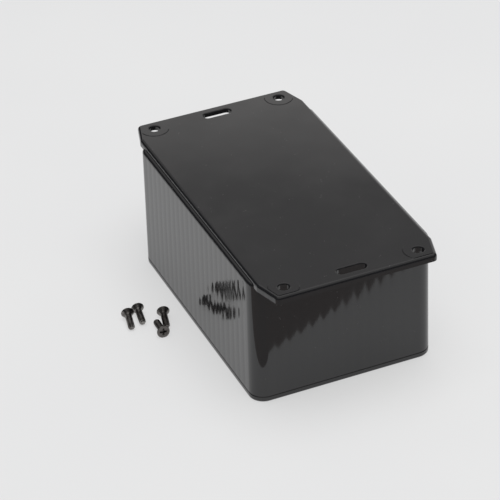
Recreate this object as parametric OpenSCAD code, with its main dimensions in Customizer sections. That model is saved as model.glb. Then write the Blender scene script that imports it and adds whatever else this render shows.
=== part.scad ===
// Flanged plastic project box: a deep moulded shell whose closed end carries the
// mounting plate, a flat lid under its open end, four brass inserts and four lid screws.
// The box stands on its lid. The origin is the centre of the lid's underside, +Z runs up
// to the mounting plate and Y is the long way. The screws are out and lie beside the box.

/* [Shell] */
// Width at the open rim
box_w = 80; // [76:1:120]
// Length at the open rim
box_l = 120; // [112:1:122]
// Height from the lid's underside to the face of the mounting plate
box_h = 58.2; // [40:0.1:80]
// Radius of the upright corners at the rim
corner_r = 6.5; // [6.2:0.1:8]
// Thickness of the walls
wall = 2.2; // [2:0.1:2.6]
// How far a wall leans in for each millimetre of height
draft = 0.0082; // [0:0.0002:0.012]
// Radius of the shoulder between the walls and the plate
shoulder_r = 1.5; // [1:0.1:1.8]
// Thickness of the closed end, plate included
closed_t = 3.2; // [3.2:0.1:4.5]

/* [Mounting plate] */
// Height of the plate's side
plate_t = 3; // [2.6:0.1:3]
// Thickness of the flanges inside their rim
web_t = 2; // [1.8:0.1:2.4]
// Overall length of the plate
plate_l = 145.6; // [143:0.1:150]
// Width of the plate along the box
plate_w = 76; // [74:0.1:77]
// How far each side of the plate comes in towards its ends
plate_taper = 3.5; // [2.8:0.7:4.9]
// Radius of the plate's corners, seen from above
plate_corner_r = 2.1; // [2.1:0.7:3.5]
// Rounding of the plate's upper edge
plate_edge_r = 1.5; // [1:0.1:1.5]
// Hole spacing across the box
flange_hole_x = 58.2; // [54:0.1:59]
// Hole spacing along the box
flange_hole_y = 133.2; // [132:0.1:134]
// Diameter of the mounting holes
flange_hole_d = 4.5; // [3.5:0.1:5]
// Radius of the raised seat round each hole
seat_r = 6.3; // [4:0.1:6.5]
// Height of the raised seats
seat_h = 0.2; // [0.2:0.1:0.5]
// Overall length of the slot in each flange
slot_l = 12.5; // [8:0.5:20]
// Width of the slots
slot_w = 4; // [3:0.1:4.5]
// Rounding of the upper rims of the holes and slots
rim_r = 0.6; // [0.3:0.1:0.6]

/* [Inside the shell] */
// Spacing of the card guides
guide_pitch = 5; // [4:0.5:5]
// Width of one guide rib
guide_w = 1.2; // [0.8:0.1:1.6]
// How far a guide rib stands out of the wall at the closed end
guide_h = 1.3; // [0.8:0.1:1.6]
// Number of guide ribs on each long wall
guides_long = 19; // [9:2:19]
// Number of guide ribs on each end wall
guides_end = 11; // [5:2:11]
// Diameter of the corner posts
post_d = 9.2; // [9:0.1:10]
// Height of the board stand-offs on the closed end
standoff_h = 5; // [3:0.5:8]
// Diameter of the board stand-offs
standoff_d = 6; // [5:0.5:7]
// Diameter of the pilot hole in a stand-off
standoff_hole_d = 2.3; // [2:0.1:2.6]
// Spacing of the stand-offs across the box
standoff_x = 46; // [40:1:50]
// Spacing of the stand-offs along the box
standoff_y = 86; // [70:1:90]

/* [Lid] */
// Thickness of the lid
lid_t = 2.4; // [2.2:0.1:3]
// Rounding of the lid's lower edge
lid_edge_r = 0.8; // [0.4:0.1:1]
// Small bevel on both sides of the seam
seam_bevel = 0.25; // [0.1:0.05:0.3]
// Height of the locating lip
lip_h = 2; // [1.5:0.5:3]
// Thickness of the locating lip
lip_t = 1.4; // [1:0.1:2]
// Gap between the lip and the shell
lip_gap = 0.3; // [0.2:0.05:0.5]

/* [Fasteners] */
// Thread diameter of a lid screw
screw_d = 3; // [2.5:0.5:3]
// Overall length of a lid screw
screw_l = 10; // [8:1:12]
// Diameter of the countersunk head
head_d = 5.5; // [5:0.1:6]
// Height of the countersunk head
head_h = 1.65; // [1.5:0.05:1.9]
// Clearance round a screw in the lid
screw_gap = 0.3; // [0.2:0.05:0.5]
// Outer diameter of a brass insert
insert_d = 4.2; // [4:0.1:4.6]
// Length of a brass insert
insert_l = 5.7; // [4:0.1:6.5]

/* [Hidden] */
$fn = 48;
overlap = 0.5;
arc_proud = 0.01;

// The upright corners: their centres serve the walls, the cavity, the lid, the lip,
// the posts and the inserts alike.
corners = [for (s = [[-1, -1], [1, -1], [1, 1], [-1, 1]])
    [s[0] * (box_w / 2 - corner_r), s[1] * (box_l / 2 - corner_r)]];

plate_z = box_h - plate_t;
ceiling_z = box_h - closed_t;
// The shoulder ends below the plate's face, so that the plate stands proud of the body.
body_top = plate_z + shoulder_r - 0.2;

// The plate's sides come in by 7 mm in 24 mm, a right triangle whose third side is 25 mm.
// With that slope the round corners, which touch both their sides, have exact centres.
taper_n = [24 / 25, 7 / 25];
wide_c = [plate_w / 2 - plate_corner_r,
          plate_l / 2 - plate_taper * taper_n[0] / taper_n[1]
          - plate_corner_r * (1 - taper_n[0]) / taper_n[1]];
end_c = [plate_w / 2 - plate_taper - plate_corner_r * (1 - taper_n[1]) / taper_n[0],
         plate_l / 2 - plate_corner_r];
plate_corners = [[wide_c[0], -wide_c[1]], wide_c, end_c, [-end_c[0], end_c[1]],
                 [-wide_c[0], wide_c[1]], -wide_c, -end_c, [end_c[0], -end_c[1]]];

guide_z = lid_t + lip_h + 1;
post_hole_depth = screw_l + 1;
insert_groove = 0.3;
thread_bore_d = screw_d - 0.5;
head_rim = 0.25;
tip_h = 0.6;
recess_d = 3;
recess_w = 0.75;
recess_h = 1.4;

// A loose countersunk screw rests on the rim of its head and on the edge of its tip.
screw_tilt = atan((head_d - screw_d) / 2 / (screw_l - tip_h - head_rim));
screw_lift = head_d / 2 * cos(screw_tilt) + head_rim * sin(screw_tilt);
// For each loose screw: where the middle of its head is, and the way its tip points.
loose = [[-63.3, 19.5, 167.7], [-58.2, 21, 170.4], [-49.4, 14, 165.7], [-55.3, 0.1, -4.9]];

// Half of an upright section. x0 is the half width at the foot, e the radius of the upper
// edge, lean how far the side leans in for each millimetre, and bevel the cut at the foot.
// The arc of a leaning side stands out by arc_proud, so that the two cross cleanly. Only the
// outer half of its circle is used, so that it never crosses the axis it is turned round.
module half_section(x0, h, e, lean, bevel) {
    side_x = x0 - lean * (h - e);
    arc_x = side_x - e + (lean > 0 ? arc_proud : 0);
    polygon([[0, 0], [x0 - bevel, 0], [x0 - lean * bevel, bevel],
             [side_x, h - e], [arc_x, h], [0, h]]);
    translate([arc_x, h - e]) intersection() {
        circle(e);
        translate([0, -2 * e]) square([2 * e, 4 * e]);
    }
}

// An upright block whose outline is arcs of radius r round the centres c, joined by
// straight sides. One half section runs along every side and turns round every corner.
// The centres go round anticlockwise.
module round_block(c, r, h, e, lean = 0, bevel = 0) {
    n = len(c);
    side = [for (i = [0:n - 1]) c[(i + 1) % n] - c[i]];
    facing = [for (d = side) atan2(d[1], d[0]) - 90];
    linear_extrude(h) polygon(c);
    for (i = [0:n - 1]) translate(c[i]) {
        before = facing[(i + n - 1) % n];
        rotate(facing[i]) translate([0, norm(side[i]), 0]) rotate([90, 0, 0])
            linear_extrude(norm(side[i])) half_section(r, h, e, lean, bevel);
        rotate(before) rotate_extrude(angle = (facing[i] - before + 720) % 360)
            half_section(r, h, e, lean, bevel);
    }
}

module at_flange_holes() {
    for (x = [-1, 1], y = [-1, 1])
        translate([x * flange_hole_x / 2, y * flange_hole_y / 2, 0]) children();
}

module at_corners() {
    for (c = corners) translate(c) children();
}

module at_standoffs() {
    for (x = [-1, 1], y = [-1, 1])
        translate([x * standoff_x / 2, y * standoff_y / 2, 0]) children();
}

// The flange plate with a low seat round each mounting hole, cut off at the plate's edge.
module mounting_plate() {
    translate([0, 0, plate_z])
        round_block(plate_corners, plate_corner_r, plate_t, plate_edge_r);
    intersection() {
        translate([0, 0, box_h - 1])
            round_block(plate_corners, plate_corner_r - plate_edge_r, 2, 0.2);
        at_flange_holes() translate([0, 0, box_h - overlap])
            rotate_extrude() polygon([[0, 0], [seat_r, 0], [seat_r, overlap],
                [seat_r - seat_h, overlap + seat_h], [0, overlap + seat_h]]);
    }
}

// One wall's comb of guides, on the wall that is out from the middle along +X.
module guide_comb(half_w, count) {
    tip_x = half_w - wall - draft * (ceiling_z - lid_t) - guide_h;
    for (i = [0:count - 1])
        translate([tip_x, (i - (count - 1) / 2) * guide_pitch - guide_w / 2, guide_z])
            cube([half_w - wall / 2 - tip_x - draft * ceiling_z, guide_w, ceiling_z - guide_z + overlap]);
}

module guides() {
    for (a = [0, 180]) rotate(a) {
        guide_comb(box_w / 2, guides_long);
        rotate(90) guide_comb(box_l / 2, guides_end);
    }
}

// Half of the section of a hole through the plate. The rim widens upwards in three short
// slopes, which follow an arc of radius rim_r and end on the face at z = face.
module rim_section(r, face) {
    e = rim_r;
    polygon([[0, plate_z - 1], [r, plate_z - 1], [r, face - e], [r + 0.13 * e, face - 0.5 * e],
             [r + 0.5 * e, face - 0.13 * e], [r + e, face], [r + e, face + 1], [0, face + 1]]);
}

module slots() {
    half = (slot_l - slot_w) / 2;
    for (y = [-1, 1], a = [0, 180]) translate([0, y * flange_hole_y / 2, 0]) rotate(a) {
        translate([half, 0, 0]) rotate(-90) rotate_extrude(angle = 180)
            rim_section(slot_w / 2, box_h);
        translate([-half, 0, 0]) rotate([90, 0, 90]) linear_extrude(2 * half)
            rim_section(slot_w / 2, box_h);
    }
}

// The flanges are hollow beneath, inside a rim as wide as the plate's corner radius.
module flange_hollows() {
    intersection() {
        translate([0, 0, plate_z - 1]) linear_extrude(1 + plate_t - web_t) polygon(plate_corners);
        for (y = [-1, 1])
            translate([-plate_w / 2, y * (box_l / 2 + 1.6 + 10) - 10, plate_z - 2])
                cube([plate_w, 20, plate_t + 2]);
    }
}

module shell() {
    color("#1c1d1f") difference() {
        union() {
            difference() {
                translate([0, 0, lid_t])
                    round_block(corners, corner_r, body_top - lid_t, shoulder_r, draft, seam_bevel);
                translate([0, 0, lid_t - overlap])
                    round_block(corners, corner_r - wall + draft * overlap, ceiling_z - lid_t + overlap,
                              1, draft);
            }
            mounting_plate();
            guides();
            at_corners() translate([0, 0, lid_t]) cylinder(ceiling_z - lid_t + overlap, d = post_d);
            at_standoffs() translate([0, 0, ceiling_z - standoff_h])
                cylinder(standoff_h + overlap, d = standoff_d);
        }
        at_flange_holes() rotate_extrude() rim_section(flange_hole_d / 2, box_h + seat_h);
        slots();
        flange_hollows();
        at_corners() translate([0, 0, lid_t - 1]) {
            cylinder(insert_l + 1, d = insert_d);
            cylinder(post_hole_depth + 1, d = screw_d + screw_gap);
        }
        at_standoffs() translate([0, 0, ceiling_z - standoff_h - 1])
            cylinder(standoff_h + 1, d = standoff_hole_d);
    }
}

module lid() {
    lip_r = corner_r - wall - lip_gap;
    color("#1c1d1f") difference() {
        union() {
            translate([0, 0, lid_t]) mirror([0, 0, 1])
                round_block(corners, corner_r, lid_t, lid_edge_r, 0, seam_bevel);
            difference() {
                translate([0, 0, lid_t - overlap]) round_block(corners, lip_r, lip_h + overlap, 0.3);
                round_block(corners, lip_r - lip_t, lid_t + lip_h + 1, 0.3);
                at_corners() cylinder(lid_t + lip_h + 1, d = post_d + 2 * lip_gap);
            }
        }
        at_corners() {
            translate([0, 0, -1]) cylinder(lid_t + 2, d = screw_d + screw_gap);
            translate([0, 0, -overlap]) cylinder(head_h + overlap,
                head_d / 2 + screw_gap / 2 + overlap * (head_d - screw_d) / 2 / head_h,
                (screw_d + screw_gap) / 2);
        }
    }
}

// A threaded insert with a groove round its middle, which the plastic flows into.
module insert(c) {
    third = insert_l / 3;
    outer = insert_d / 2;
    color("#b8923f") translate([c[0], c[1], lid_t]) rotate_extrude()
        polygon([[thread_bore_d / 2, 0], [outer, 0], [outer, third],
                 [outer - insert_groove, third], [outer - insert_groove, 2 * third],
                 [outer, 2 * third], [outer, insert_l], [thread_bore_d / 2, insert_l]]);
}

// A countersunk cross-recess machine screw. Its head is at z = 0 and its tip points up.
module lid_screw() {
    difference() {
        rotate_extrude() polygon([[0, 0], [head_d / 2, 0], [head_d / 2, head_rim],
            [screw_d / 2, head_h], [screw_d / 2, screw_l - tip_h],
            [screw_d / 2 - tip_h, screw_l], [0, screw_l]]);
        intersection() {
            translate([0, 0, -overlap])
                cylinder(recess_h + overlap, recess_d / 2 + 0.2, recess_w / 2);
            for (a = [0, 90]) rotate(a)
                translate([-recess_d / 2, -recess_w / 2, -overlap])
                    cube([recess_d, recess_w, recess_h + overlap]);
        }
    }
}

module loose_screw(p) {
    color("#3c3a38") translate([p[0], p[1], screw_lift]) rotate(p[2])
        rotate([-90 - screw_tilt, 0, 0]) lid_screw();
}

shell();
lid();
insert(corners[0]);  // insert_1
insert(corners[1]);  // insert_2
insert(corners[2]);  // insert_3
insert(corners[3]);  // insert_4
loose_screw(loose[0]);  // screw_1
loose_screw(loose[1]);  // screw_2
loose_screw(loose[2]);  // screw_3
loose_screw(loose[3]);  // screw_4
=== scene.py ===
# %% [markdown]
# # A flanged project box
#
# A deep black box of moulded ABS plastic stands on its lid, with its mounting plate on top.
# Four small countersunk screws, which hold the lid, are out and lie beside it. The solids
# come packed and exact. This script dresses them: first the camera and the light, then the
# plastic, then the small metal pieces, and last the surface that everything stands on.

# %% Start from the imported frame
import math

import bmesh
import bpy
import numpy as np
from mathutils import Matrix, Vector


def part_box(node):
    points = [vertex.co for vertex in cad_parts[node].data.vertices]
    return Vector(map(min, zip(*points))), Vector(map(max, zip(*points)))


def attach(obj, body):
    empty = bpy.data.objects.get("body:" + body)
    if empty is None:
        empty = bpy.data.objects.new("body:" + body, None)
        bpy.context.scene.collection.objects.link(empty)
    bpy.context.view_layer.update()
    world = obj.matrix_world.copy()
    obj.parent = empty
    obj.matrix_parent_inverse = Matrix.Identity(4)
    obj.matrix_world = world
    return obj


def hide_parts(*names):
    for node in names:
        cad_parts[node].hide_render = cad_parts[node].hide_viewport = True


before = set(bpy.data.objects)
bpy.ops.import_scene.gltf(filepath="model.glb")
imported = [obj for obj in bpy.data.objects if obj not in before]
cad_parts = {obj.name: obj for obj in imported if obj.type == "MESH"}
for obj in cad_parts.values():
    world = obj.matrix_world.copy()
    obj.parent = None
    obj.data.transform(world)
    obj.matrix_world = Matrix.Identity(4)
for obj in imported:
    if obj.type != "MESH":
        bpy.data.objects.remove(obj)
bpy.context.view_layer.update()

MM = 0.001
shell_low, shell_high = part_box("shell")
lid_low, lid_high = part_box("lid")
print("shell, mm:", [round(v / MM, 1) for v in shell_high - shell_low],
      "lid, mm:", [round(v / MM, 1) for v in lid_high - lid_low])

# %% [markdown]
# ## The camera
#
# The camera stands well back with a long lens, so the box's long edges stay nearly
# parallel. Its aim is a heading, a look-down angle and a small roll, turned into a matrix:
# a camera looks along its own -Z, so it is first tipped up from looking straight down, then
# turned to its heading. An aim constraint would do the same, but would leave no roll.

# %% Place the camera
CAMERA_PLACE = Vector((-351.6, -806.9, 611.9)) * MM
CAMERA_HEADING = math.radians(22.654)
CAMERA_LOOK_DOWN = math.radians(33.576)
CAMERA_ROLL = math.radians(-2.131)
CAMERA_LENS = 182.4

camera_data = bpy.data.cameras.new("camera")
camera_data.lens = CAMERA_LENS
camera_data.sensor_width = 36.0
camera_data.clip_end = 20.0
camera = bpy.data.objects.new("camera", camera_data)
camera.matrix_world = (Matrix.Translation(CAMERA_PLACE)
                       @ Matrix.Rotation(-CAMERA_HEADING, 4, "Z")
                       @ Matrix.Rotation(math.pi / 2 - CAMERA_LOOK_DOWN, 4, "X")
                       @ Matrix.Rotation(CAMERA_ROLL, 4, "Z"))
bpy.context.scene.collection.objects.link(camera)
bpy.context.scene.camera = camera
bpy.context.scene.view_settings.view_transform = "Standard"
print("camera distance, m:", round(CAMERA_PLACE.length, 3))

# %% [markdown]
# ## Small helpers for node trees
#
# Every finish below is a node tree. Short helpers keep the wiring readable: they add a node
# and fill its sockets, do sums, ease a value from one range to another, mix two colours, and
# start a group or a material. A plain value is set on a socket, and an output is linked.

# %% Node helpers
def wire(tree, socket, value):
    """Link an output to a socket, or set the socket when value is a plain number or colour."""
    if isinstance(value, bpy.types.NodeSocket):
        tree.links.new(value, socket)
    else:
        socket.default_value = value


def node(tree, kind, inputs=(), **settings):
    """A new node of this kind, with its settings and the given inputs by name or index."""
    made = tree.nodes.new(kind)
    for name, value in settings.items():
        setattr(made, name, value)
    for name, value in dict(inputs).items():
        wire(tree, made.inputs[name], value)
    return made


def maths(tree, operation, *values):
    """The output of a math node that applies the operation to up to three values."""
    made = node(tree, "ShaderNodeMath", dict(enumerate(values)), operation=operation)
    return made.outputs[0]


def ramp(tree, value, low, high, out_low=0.0, out_high=1.0):
    """value eased from low..high to out_low..out_high, and held at the ends."""
    made = node(tree, "ShaderNodeMapRange", {"Value": value, "From Min": low, "From Max": high,
                                             "To Min": out_low, "To Max": out_high})
    made.interpolation_type = "SMOOTHSTEP"
    return made.outputs["Result"]


def mix_colour(tree, factor, a, b):
    """The output colour between a, at factor 0, and b, at factor 1."""
    made = node(tree, "ShaderNodeMix", data_type="RGBA")
    for index, value in ((0, factor), (6, a), (7, b)):
        wire(tree, made.inputs[index], value)
    return made.outputs[2]


def new_group(name, inputs, outputs):
    """An empty shader group with typed sockets, and its input and output nodes."""
    tree = bpy.data.node_groups.new(name, "ShaderNodeTree")
    for socket_name, kind, default in inputs:
        socket = tree.interface.new_socket(name=socket_name, in_out="INPUT", socket_type=kind)
        if default is not None:
            socket.default_value = default
    for socket_name, kind in outputs:
        tree.interface.new_socket(name=socket_name, in_out="OUTPUT", socket_type=kind)
    return tree, tree.nodes.new("NodeGroupInput"), tree.nodes.new("NodeGroupOutput")


def use_group(tree, group, inputs):
    """A group node that uses the group with these input values."""
    made = tree.nodes.new("ShaderNodeGroup")
    made.node_tree = group
    for name, value in inputs.items():
        wire(tree, made.inputs[name], value)
    return made


def new_material(name):
    """A material with an empty tree, its Principled shader and its output."""
    material = bpy.data.materials.new(name)
    material.use_nodes = True
    tree = material.node_tree
    tree.nodes.clear()
    shader = tree.nodes.new("ShaderNodeBsdfPrincipled")
    out = tree.nodes.new("ShaderNodeOutputMaterial")
    tree.links.new(shader.outputs[0], out.inputs["Surface"])
    return material, tree, shader


# %% [markdown]
# ## What the gloss sees
#
# Black plastic shows almost nothing of its own colour: its look is the room in its
# reflections. A glossy ray that leaves the mounting plate meets the backdrop about 30 degrees
# up, and it is bright low down and dark above. The shoulder along the left side looks into
# the dark left of the room. So glossy rays see a dim room with a bright backdrop, a fainter
# wall higher up behind it and a ceiling. Everything else sees an even pale dome, which gives
# the soft light.

# %% Build the room and its light
world = bpy.data.worlds.new("room")
bpy.context.scene.world = world
world.use_nodes = True
sky = world.node_tree
sky.nodes.clear()
BACKDROP_HEADING = math.radians(30.0)
BACKDROP_TOP = math.sin(math.radians(32.4))
BACKDROP_SOFT = math.sin(math.radians(29.9))
BACKDROP_LIGHT, WALL_LIGHT, CEILING_LIGHT, ROOM_LIGHT = 0.55, 0.33, 0.45, 0.012
DOME_LIGHT = 0.62

ray = node(sky, "ShaderNodeTexCoord").outputs["Generated"]
split = node(sky, "ShaderNodeSeparateXYZ", {0: ray}).outputs
toward = node(sky, "ShaderNodeVectorMath", {0: ray, 1: (math.sin(BACKDROP_HEADING),
              math.cos(BACKDROP_HEADING), 0.0)}, operation="DOT_PRODUCT").outputs["Value"]
level = maths(sky, "SQRT", maths(sky, "ADD", maths(sky, "MULTIPLY", split[0], split[0]),
                                 maths(sky, "MULTIPLY", split[1], split[1])))
facing = maths(sky, "DIVIDE", toward, maths(sky, "MAXIMUM", level, 0.001))
backdrop = maths(sky, "MULTIPLY", ramp(sky, facing, 0.80, 0.93),
                 ramp(sky, split[2], BACKDROP_SOFT, BACKDROP_TOP,
                      BACKDROP_LIGHT, 0.0))
far_wall = maths(sky, "MULTIPLY", ramp(sky, facing, 0.45, 0.65),
                 ramp(sky, split[2], 0.36, 0.50, 0.0, WALL_LIGHT))
above = ramp(sky, split[2], 0.60, 0.82, 0.0, CEILING_LIGHT)
walls = maths(sky, "ADD", backdrop, far_wall)
seen = maths(sky, "ADD", maths(sky, "ADD", walls, above), ROOM_LIGHT)
room = node(sky, "ShaderNodeBackground", {"Color": (1.0, 0.98, 0.96, 1.0), "Strength": seen})
dome = node(sky, "ShaderNodeBackground", {"Color": (0.97, 0.98, 1.0, 1.0), "Strength": DOME_LIGHT})
glossy_ray = node(sky, "ShaderNodeLightPath").outputs["Is Glossy Ray"]
both = node(sky, "ShaderNodeMixShader",
            {0: glossy_ray, 1: dome.outputs[0], 2: room.outputs[0]})
node(sky, "ShaderNodeOutputWorld", {"Surface": both.outputs[0]})


def softbox(name, place, aim, size, power):
    """A square area light at place, in metres, turned to face aim."""
    light = bpy.data.lights.new(name, "AREA")
    light.shape = "SQUARE"
    light.size = size
    light.energy = power
    lamp = bpy.data.objects.new(name, light)
    lamp.location = place
    lamp.rotation_euler = (Vector(aim) - Vector(place)).to_track_quat("-Z", "Y").to_euler()
    bpy.context.scene.collection.objects.link(lamp)
    return lamp


softbox("overhead", (0.05, -0.10, 1.10), (0, 0, 0), 0.9, 9.0).visible_glossy = False

# %% [markdown]
# ## The surface that the box stands on
#
# The surface is a wide white sheet. It is a grid of a few faces, pale and
# dull, with a faint cloudiness. It gives off a little light of its own, which stands in for
# the light that a white table passes about and keeps the shadows as faint as they are.
# Toward the camera, just over the sheet, lies the brown edge of a table, which only the
# gloss sees: it makes the dark corner in the reflection on the front wall.

# %% Lay the sheet and the brown table edge
def skin_of(name, points, faces, smooth=False):
    """A linked object whose mesh has these points and faces, shaded smooth or flat."""
    mesh = bpy.data.meshes.new(name)
    mesh.from_pydata(points.tolist(), [], faces)
    made = bpy.data.objects.new(name, mesh)
    bpy.context.scene.collection.objects.link(made)
    for face in mesh.polygons:
        face.use_smooth = smooth
    return made


def flat_grid(name, low, high, height, steps=8):
    """A level grid: x and y run evenly from low to high, and z is the given height."""
    x, y = np.meshgrid(np.linspace(low[0], high[0], steps),
                       np.linspace(low[1], high[1], steps))
    points = np.stack([x, y, np.full_like(x, height)], -1).reshape(-1, 3)
    k = np.arange(steps * steps).reshape(steps, steps)
    faces = np.stack([k[:-1, :-1], k[:-1, 1:], k[1:, 1:], k[1:, :-1]], -1).reshape(-1, 4)
    return skin_of(name, points, faces.tolist())


SHEET_EDGE = 92 * MM
SHEET_GLOW = 1.95
toward_camera = Vector((CAMERA_PLACE.x, CAMERA_PLACE.y, 0)).normalized()

sheet = flat_grid("white_sheet", (-2.5, -2.5), (2.5, 2.5), 0.0)
sheet_material, tree, shader = new_material("white_sheet")
place = node(tree, "ShaderNodeTexCoord").outputs["Object"]
cloud = node(tree, "ShaderNodeTexNoise", {"Vector": place, "Scale": 7.0, "Detail": 3.0})
tone = mix_colour(tree, cloud.outputs["Fac"], (0.248, 0.248, 0.25, 1), (0.262, 0.262, 0.26, 1))
wire(tree, shader.inputs["Base Color"], tone)
wire(tree, shader.inputs["Emission Color"], tone)
shader.inputs["Emission Strength"].default_value = SHEET_GLOW
shader.inputs["Roughness"].default_value = 0.9
shader.inputs["Specular IOR Level"].default_value = 0.1
sheet.data.materials.append(sheet_material)

table = flat_grid("table_edge", (-1.5, -1.0), (1.5, 0.0), 0.0)
table.matrix_world = (Matrix.Translation(toward_camera * SHEET_EDGE + Vector((0, 0, 0.5 * MM)))
                      @ Matrix.Rotation(-CAMERA_HEADING, 4, "Z"))
table_material, tree, shader = new_material("table_edge")
place = node(tree, "ShaderNodeTexCoord").outputs["Object"]
grain = node(tree, "ShaderNodeTexNoise", {"Vector": place, "Scale": 9.0, "Detail": 2.0})
wire(tree, shader.inputs["Base Color"],
     mix_colour(tree, grain.outputs["Fac"], (0.27, 0.215, 0.19, 1), (0.24, 0.235, 0.235, 1)))
table.data.materials.append(table_material)
table.visible_camera = table.visible_diffuse = table.visible_shadow = False
print("sheet and table laid; sheet edge at mm:", SHEET_EDGE / MM)

# %% [markdown]
# ## Ripples of the moulded walls
#
# The card guides stand on the inside of the walls, five millimetres apart. Where a rib backs
# the wall, the plastic shrinks more as it cools, and a shallow sink line runs up the outside.
# Nobody would feel it, but gloss shows it: whatever the wall mirrors breaks into zigzags.
# Modelled as faces this would need a very fine mesh, so it is a height for a bump: a row of
# rounded troughs along the wall, each a little stronger or weaker than the next, with a slow
# unevenness over all of it. The group puts out a height in millimetres.

# %% The ripple group
GUIDE_PITCH = 5.0

ripple, group_in, group_out = new_group(
    "moulded_ripple",
    [("Along", "NodeSocketFloat", 0.0), ("Place", "NodeSocketVector", None),
     ("Sink Depth", "NodeSocketFloat", 0.02), ("Slow Depth", "NodeSocketFloat", 0.05)],
    [("Height", "NodeSocketFloat")])
source = group_in.outputs
drift = node(ripple, "ShaderNodeTexNoise", {"Vector": source["Place"], "Scale": 60.0,
                                            "Detail": 2.0}).outputs["Fac"]
phase = maths(ripple, "MULTIPLY", maths(ripple, "ADD", source["Along"],
              maths(ripple, "MULTIPLY", maths(ripple, "SUBTRACT", drift, 0.5), 1.2)),
              2 * math.pi / GUIDE_PITCH)
trough = maths(ripple, "POWER", maths(ripple, "MULTIPLY_ADD",
               maths(ripple, "COSINE", phase), 0.5, 0.5), 1.6)
strength = node(ripple, "ShaderNodeTexNoise", {"Vector": source["Place"], "Scale": 38.0,
                                               "Detail": 1.0}).outputs["Fac"]
sink = maths(ripple, "MULTIPLY", maths(ripple, "MULTIPLY", trough, source["Sink Depth"]),
             maths(ripple, "ADD", strength, 0.45))
slow = node(ripple, "ShaderNodeTexNoise", {"Vector": source["Place"], "Scale": 26.0,
                                           "Detail": 2.0}).outputs["Fac"]
height = maths(ripple, "SUBTRACT", maths(ripple, "MULTIPLY", slow, source["Slow Depth"]), sink)
wire(ripple, group_out.inputs["Height"], height)
print("ripple pitch, mm:", GUIDE_PITCH)

# %% [markdown]
# ## Handling marks
#
# A glossy box that has been handled has a thin uneven haze and a few pale specks of dust.
# Both are masks from noise: the haze is slow and soft, and the dust is the rare peaks of a
# fine cell pattern. One group serves the plastic and the metal, each with its own amounts.

# %% The wear group
wear, group_in, group_out = new_group(
    "haze_and_dust",
    [("Place", "NodeSocketVector", None), ("Haze", "NodeSocketFloat", 0.5),
     ("Dust", "NodeSocketFloat", 0.5)],
    [("Haze Mask", "NodeSocketFloat"), ("Dust Mask", "NodeSocketFloat")])
source = group_in.outputs
smear = node(wear, "ShaderNodeTexNoise", {"Vector": source["Place"], "Scale": 45.0,
                                          "Detail": 5.0, "Roughness": 0.6}).outputs["Fac"]
wire(wear, group_out.inputs["Haze Mask"],
     maths(wear, "MULTIPLY", ramp(wear, smear, 0.35, 0.75), source["Haze"]))
cells = node(wear, "ShaderNodeTexVoronoi", {"Vector": source["Place"], "Scale": 900.0})
rare = node(wear, "ShaderNodeTexNoise", {"Vector": source["Place"], "Scale": 260.0,
                                         "Detail": 1.0}).outputs["Fac"]
speck = maths(wear, "MULTIPLY", ramp(wear, cells.outputs["Distance"], 0.16, 0.05),
              ramp(wear, rare, 0.62, 0.70))
wire(wear, group_out.inputs["Dust Mask"], maths(wear, "MULTIPLY", speck, source["Dust"]))
print("wear group sockets:", [i.name for i in wear.interface.items_tree])

# %% [markdown]
# ## Glossy black plastic
#
# The plastic is nearly black with an ordinary plastic gloss. The long walls carry the ripple
# along Y and the end walls along X, so each direction's height is weighted by how far the
# surface faces that way; the plate on top has only the slow unevenness. Roughness rises in
# the haze and on the dust, and a very fine bump stands for the mould's own grain.

# %% The plastic
PLASTIC_IOR = 1.6
GRAIN_DEPTH = 0.0012 * MM
HAZE_ROUGHNESS, DUST_ROUGHNESS = 0.06, 0.4


def black_plastic(name, sink_depth, slow_depth, roughness):
    """Near-black gloss: ripple by facing direction, a haze in the roughness, and dust."""
    material, tree, shader = new_material(name)
    coords = node(tree, "ShaderNodeTexCoord")
    spot, facing = coords.outputs["Object"], coords.outputs["Normal"]
    xyz = node(tree, "ShaderNodeSeparateXYZ", {0: spot}).outputs
    turn = node(tree, "ShaderNodeSeparateXYZ", {0: facing}).outputs
    heights = []
    for along, out in ((xyz["Y"], turn["X"]), (xyz["X"], turn["Y"])):
        share = ramp(tree, maths(tree, "ABSOLUTE", out), 0.75, 0.98)
        group = use_group(tree, ripple, {"Along": maths(tree, "DIVIDE", along, MM),
                                         "Place": spot, "Sink Depth": sink_depth,
                                         "Slow Depth": slow_depth})
        heights.append(maths(tree, "MULTIPLY", group.outputs[0], share))
    slow = node(tree, "ShaderNodeTexNoise", {"Vector": spot, "Scale": 22.0,
                                             "Detail": 2.0}).outputs["Fac"]
    flat = maths(tree, "MULTIPLY", maths(tree, "MULTIPLY", slow, slow_depth),
                 ramp(tree, maths(tree, "ABSOLUTE", turn["Z"]), 0.75, 0.98))
    total = maths(tree, "ADD", maths(tree, "ADD", *heights), flat)
    broad = node(tree, "ShaderNodeBump", {"Height": total, "Distance": MM, "Strength": 1.0})
    grain = node(tree, "ShaderNodeTexNoise", {"Vector": spot, "Scale": 2600.0,
                                              "Detail": 2.0}).outputs["Fac"]
    fine = node(tree, "ShaderNodeBump", {"Height": grain, "Distance": GRAIN_DEPTH,
                                         "Strength": 1.0, "Normal": broad.outputs[0]})
    marks = use_group(tree, wear, {"Place": spot, "Haze": 1.0, "Dust": 0.8}).outputs
    wire(tree, shader.inputs["Base Color"],
         mix_colour(tree, marks["Dust Mask"],
                    (0.011, 0.011, 0.012, 1), (0.16, 0.155, 0.15, 1)))
    rough = maths(tree, "MULTIPLY_ADD", marks["Haze Mask"], HAZE_ROUGHNESS, roughness)
    wire(tree, shader.inputs["Roughness"],
         maths(tree, "MULTIPLY_ADD", marks["Dust Mask"], DUST_ROUGHNESS, rough))
    wire(tree, shader.inputs["Normal"], fine.outputs[0])
    shader.inputs["IOR"].default_value = PLASTIC_IOR
    return material


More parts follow.
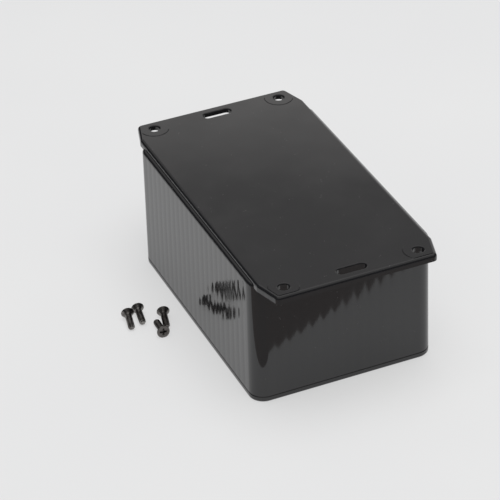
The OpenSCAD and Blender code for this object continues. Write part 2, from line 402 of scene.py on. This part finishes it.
shell_plastic = black_plastic("shell_plastic", 0.03, 0.05, 0.06)
lid_plastic = black_plastic("lid_plastic", 0.0, 0.05, 0.09)
print("plastics:", shell_plastic.name, lid_plastic.name)

# %% [markdown]
# ## The two mouldings
#
# The shell and the lid have true curves already, as loose triangles with flat shading. A
# copy of each is merged into one skin and shaded smooth, except over sharp edges. Large flat
# faces meet small curved ones all round this box, and plain smoothing would tilt the shading
# of the flats, which gloss shows at once. Weighted normals give the large faces the say, so
# flats stay flat and the bends stay round. A narrow bevel softens the edges left sharp.

# %% Merge and shade a copy of each moulding
SHARP, FLAT = math.radians(32), math.radians(0.05)
EDGE, EDGE_SEGMENTS = 0.12 * MM, 3
MERGE = 1e-6


def merged_copy(name, source, material, body):
    """One skin from a CAD node: corners merged, flats joined, edges over SHARP kept hard."""
    skin = bmesh.new()
    skin.from_mesh(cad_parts[source].data)
    bmesh.ops.remove_doubles(skin, verts=skin.verts, dist=MERGE)
    bmesh.ops.dissolve_limit(skin, angle_limit=FLAT, verts=skin.verts, edges=skin.edges)
    for face in skin.faces:
        face.smooth = True
    for edge in skin.edges:
        edge.smooth = len(edge.link_faces) == 2 and edge.calc_face_angle(0.0) < SHARP
    mesh = bpy.data.meshes.new(name)
    skin.to_mesh(mesh)
    skin.free()
    made = bpy.data.objects.new(name, mesh)
    bpy.context.scene.collection.objects.link(made)
    mesh.materials.append(material)
    soften = made.modifiers.new("soften_edges", "BEVEL")
    soften.width, soften.segments, soften.limit_method = EDGE, EDGE_SEGMENTS, "ANGLE"
    soften.angle_limit, soften.miter_outer = SHARP, "MITER_SHARP"
    soften.use_clamp_overlap = True
    weigh = made.modifiers.new("weigh_normals", "WEIGHTED_NORMAL")
    weigh.keep_sharp = True
    weigh.weight = 100
    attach(made, body)
    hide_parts(source)
    print(name, "faces:", len(mesh.polygons))


merged_copy("moulded_shell", "shell", shell_plastic, "shell_body")
merged_copy("moulded_lid", "lid", lid_plastic, "lid_body")

# %% [markdown]
# ## Turned metal
#
# A screw and an insert are both turned on a lathe, so both can be one grid: rows follow a
# profile from end to end and columns go round the axis. Each point has a distance along the
# axis and a radius. A thread is the same grid with a radius that also depends on the angle:
# the profile's teeth shift by one pitch for each turn. The end rows close on the axis.

# %% The turned grid and the thread
def turned(name, along, radius):
    """A closed skin from two arrays of rows by columns: distance along Z, and radius."""
    rows, columns = radius.shape
    angle = np.linspace(0, 2 * np.pi, columns, endpoint=False)[None, :]
    points = np.stack([radius * np.cos(angle), radius * np.sin(angle), along], -1)
    ends = np.array([[0, 0, along[0].mean()], [0, 0, along[-1].mean()]])
    k = np.arange(rows * columns).reshape(rows, columns)
    nxt = np.roll(k, -1, axis=1)
    quads = np.stack([k[:-1], nxt[:-1], nxt[1:], k[1:]], -1).reshape(-1, 4)
    first, last = rows * columns, rows * columns + 1
    caps = [np.stack([np.full(columns, first), nxt[0], k[0]], -1),
            np.stack([np.full(columns, last), k[-1], nxt[-1]], -1)]
    return skin_of(name, np.concatenate([points.reshape(-1, 3), ends]),
                   quads.tolist() + caps[0].tolist() + caps[1].tolist(), smooth=True)


FLANK, ROOT = 2.9, 0.55


def thread_tooth(turns):
    """FLANK times the distance to the nearest whole turn, less ROOT, held to 0..1."""
    return np.clip((0.5 - np.abs(turns % 1.0 - 0.5)) * FLANK - ROOT, 0.0, 1.0)


# %% [markdown]
# ## The lid screws
#
# Each screw is M3 by 10 with a countersunk head and a cross recess. Rows run from the tip,
# up the thread, under the cone, round the rim and across the face to the middle. The recess
# is a depth over the face: four arms, each a narrow strip along an axis, deepest in the
# middle and rising to nothing at the arm's end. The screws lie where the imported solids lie:
# a solid's own points give its axis, because the tip and the head's rim are rings whose
# middles are on it.

# %% Build one screw and lay four
SCREW_D, SCREW_L, HEAD_D, HEAD_H, HEAD_RIM, TIP_H = 3.0, 10.0, 5.5, 1.65, 0.25, 0.6
PITCH, THREAD_DEPTH = 0.5, 0.30
RECESS_R, RECESS_W, RECESS_DEEP = 1.55, 0.42, 1.3
COLUMNS = 96


def screw_surface():
    """Arrays of distance from the head's face and radius, in mm, from the tip to the face."""
    angle = np.linspace(0, 2 * np.pi, COLUMNS, endpoint=False)[None, :]
    shank = np.linspace(SCREW_L, HEAD_H, int((SCREW_L - HEAD_H) / (PITCH / 9)))[:, None]
    crest = SCREW_D / 2 - np.clip(shank - (SCREW_L - TIP_H), 0, None)
    root = THREAD_DEPTH * np.clip((shank - HEAD_H) / (2 * PITCH), 0, 1)
    cut = root * (1 - thread_tooth(shank / PITCH - angle / (2 * np.pi)))
    radius = [crest - cut * np.clip(crest / (SCREW_D / 2), 0, 1)]
    along = [np.broadcast_to(shank, radius[0].shape)]
    tip = np.linspace(0.05, 0.95, 5)[:, None] * radius[0][:1]
    radius.insert(0, tip)
    along.insert(0, np.full_like(tip, SCREW_L))
    cone = np.linspace(0.12, 1, 8)[:, None]
    rim = HEAD_RIM * np.array([0.6, 0.25, 0.08, 0.0])[:, None]
    rim_r = HEAD_D / 2 - HEAD_RIM * np.array([0.0, 0.08, 0.25, 0.5])[:, None]
    radius += [np.broadcast_to(SCREW_D / 2 + (HEAD_D - SCREW_D) / 2 * cone, (8, COLUMNS)),
               np.broadcast_to(rim_r, (4, COLUMNS))]
    along += [np.broadcast_to(HEAD_H + (HEAD_RIM - HEAD_H) * cone, (8, COLUMNS)),
              np.broadcast_to(rim, (4, COLUMNS))]
    face_r = np.concatenate([np.linspace(HEAD_D / 2 - HEAD_RIM, RECESS_R, 5)[1:],
                             np.linspace(RECESS_R, 0.02, 40)[1:]])[:, None]
    face_r = np.broadcast_to(face_r, (len(face_r), COLUMNS))
    strip = np.minimum(np.abs(face_r * np.cos(angle)), np.abs(face_r * np.sin(angle)))
    arm = np.clip((RECESS_W + 0.04 - strip) / 0.08, 0, 1)
    deep = RECESS_DEEP * np.clip((RECESS_R - face_r) / (RECESS_R - 0.7), 0, 1)
    radius.append(face_r)
    along.append(arm * deep)
    return np.concatenate(along), np.concatenate(radius)


def axis_of(source):
    """The middle of the head's face and the direction to the tip, from the solid's points."""
    points = np.array([v.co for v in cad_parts[source].data.vertices]) / MM
    points = np.unique(np.round(points, 4), axis=0)
    middle = points.mean(0)
    way = np.linalg.svd(points - middle)[2][0]
    t = (points - middle) @ way
    if np.abs(np.cross(points[t > 0] - middle, way)).max() > \
            np.abs(np.cross(points[t < 0] - middle, way)).max():
        way = -way
    for _ in range(4):
        t = (points - middle) @ way
        out = np.linalg.norm(points - middle - t[:, None] * way, axis=1)
        rim = points[out > 0.85 * HEAD_D / 2].mean(0)
        tip = points[t > t.max() - TIP_H / 2].mean(0)
        way, middle = (tip - rim) / np.linalg.norm(tip - rim), rim
    return tip - way * SCREW_L, way


def lay(made, face, way):
    """Turn a piece whose own +Z is its axis along way, and put its foot at face, in mm."""
    turn = Vector((0, 0, 1)).rotation_difference(Vector(way)).to_matrix().to_4x4()
    made.data.transform(Matrix.Translation(Vector(face) * MM) @ turn @ Matrix.Scale(MM, 4))


along, radius = screw_surface()
screws = []
for i in range(1, 5):
    screw = turned(f"lid_screw_{i}", along, radius)
    face, way = axis_of(f"screw_{i}")
    lay(screw, face, way)
    print(screw.name, "face at mm", np.round(face, 2), "tip way", np.round(way, 3))
    screws.append(screw)

# %% [markdown]
# ## The brass inserts
#
# An insert is pressed hot into each corner post. Two knurled bands grip the plastic and a
# groove between them locks it. The knurl is two sets of slanting ridges, one each way, whose
# product leaves a field of small points. Only the ring of its mouth shows, once the shell is
# lifted, but it is whole.

# %% Build the inserts
KNURLS, KNURL_SLANT = 24, 9
GROOVE, KNURL_DEPTH, END_TAPER, INSERT_THREAD = 0.3, 0.12, 0.1, 0.22


def insert_surface(length, outer, bore):
    """Out from the bore's mouth, along the knurled outside, and back through the bore."""
    angle = np.linspace(0, 2 * np.pi, COLUMNS, endpoint=False)[None, :]
    z = np.linspace(0, length, 58)[:, None]
    ridges = 0.5 + 0.5 * (np.cos(KNURLS * angle + KNURL_SLANT * z)
                          * np.cos(KNURLS * angle - KNURL_SLANT * z))
    band = np.clip(8 * (np.abs(z - length / 2) - length / 6), 0, 1)
    ends = np.clip(6 * np.minimum(z, length - z), 0, 1)
    outside = (outer - GROOVE * (1 - band) - KNURL_DEPTH * ridges * band
               - END_TAPER * (1 - ends))
    back = z[::-1]
    inside = bore + INSERT_THREAD * (1 - thread_tooth(back / PITCH - angle / (2 * np.pi)))
    return (np.concatenate([np.broadcast_to(z, outside.shape),
                            np.broadcast_to(back, inside.shape),
                            np.zeros((1, COLUMNS))]),
            np.concatenate([outside, inside, outside[:1]]))


def ring_surface(name, along, radius):
    """As turned, for a grid whose last row is its first row again, so it needs no caps."""
    rows, columns = radius.shape
    angle = np.linspace(0, 2 * np.pi, columns, endpoint=False)[None, :]
    points = np.stack([radius * np.cos(angle), radius * np.sin(angle), along], -1)[:-1]
    k = np.arange((rows - 1) * columns).reshape(rows - 1, columns)
    nxt, down = np.roll(k, -1, axis=1), np.roll(k, -1, axis=0)
    quads = np.stack([k, nxt, np.roll(down, -1, axis=1), down], -1).reshape(-1, 4)
    return skin_of(name, points.reshape(-1, 3), quads.tolist(), smooth=True)


inserts = []
for i in range(1, 5):
    low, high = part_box(f"insert_{i}")
    size = (high - low) / MM
    along, radius = insert_surface(size.z, size.x / 2 - 0.01, SCREW_D / 2 - 0.25)
    insert = ring_surface(f"brass_insert_{i}", along, radius)
    foot = ((low.x + high.x) / 2 / MM, (low.y + high.y) / 2 / MM, low.z / MM)
    lay(insert, foot, (0, 0, 1))
    inserts.append(insert)
print("inserts:", len(inserts), "size mm:", [round(v, 2) for v in size])

# %% [markdown]
# ## Steel and brass
#
# The screws are dark oiled steel, and the inserts are yellow brass. Both are metals with fine
# turning lines round them, a haze of oil in the roughness, and grime where the surface is
# low. The grime comes from a soft noise here, because the threads are too small for more.

# %% The metals
GRIME_ROUGHNESS, LINE_DEPTH = 0.18, 0.008 * MM


def turned_metal(name, bright, dull, roughness, line_scale):
    """Metal whose colour runs from bright to dull in a soft noise, with fine lines."""
    material, tree, shader = new_material(name)
    spot = node(tree, "ShaderNodeTexCoord").outputs["Object"]
    marks = use_group(tree, wear, {"Place": spot, "Haze": 1.0, "Dust": 0.3}).outputs
    patch = node(tree, "ShaderNodeTexNoise", {"Vector": spot, "Scale": 420.0, "Detail": 4.0})
    dark = maths(tree, "MAXIMUM", ramp(tree, patch.outputs["Fac"], 0.35, 0.7),
                 marks["Haze Mask"])
    wire(tree, shader.inputs["Base Color"], mix_colour(tree, dark, bright, dull))
    wire(tree, shader.inputs["Roughness"],
         maths(tree, "MULTIPLY_ADD", dark, GRIME_ROUGHNESS, roughness))
    lines = node(tree, "ShaderNodeTexNoise", {"Vector": spot, "Scale": line_scale,
                                              "Detail": 3.0}).outputs["Fac"]
    bump = node(tree, "ShaderNodeBump", {"Height": lines, "Distance": LINE_DEPTH,
                                         "Strength": 1.0})
    wire(tree, shader.inputs["Normal"], bump.outputs[0])
    shader.inputs["Metallic"].default_value = 1.0
    return material


screw_steel = turned_metal("screw_steel", (0.30, 0.29, 0.28, 1), (0.12, 0.11, 0.105, 1),
                           0.30, 3200.0)
brass = turned_metal("brass", (0.75, 0.56, 0.26, 1), (0.42, 0.28, 0.11, 1), 0.26, 3800.0)
for made, source, material, body in (
        [(s, f"screw_{i}", screw_steel, "lid_body") for i, s in enumerate(screws, 1)]
        + [(s, f"insert_{i}", brass, "shell_body") for i, s in enumerate(inserts, 1)]):
    made.data.materials.append(material)
    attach(made, body)
    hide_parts(source)
print("metal pieces:", len(screws) + len(inserts))
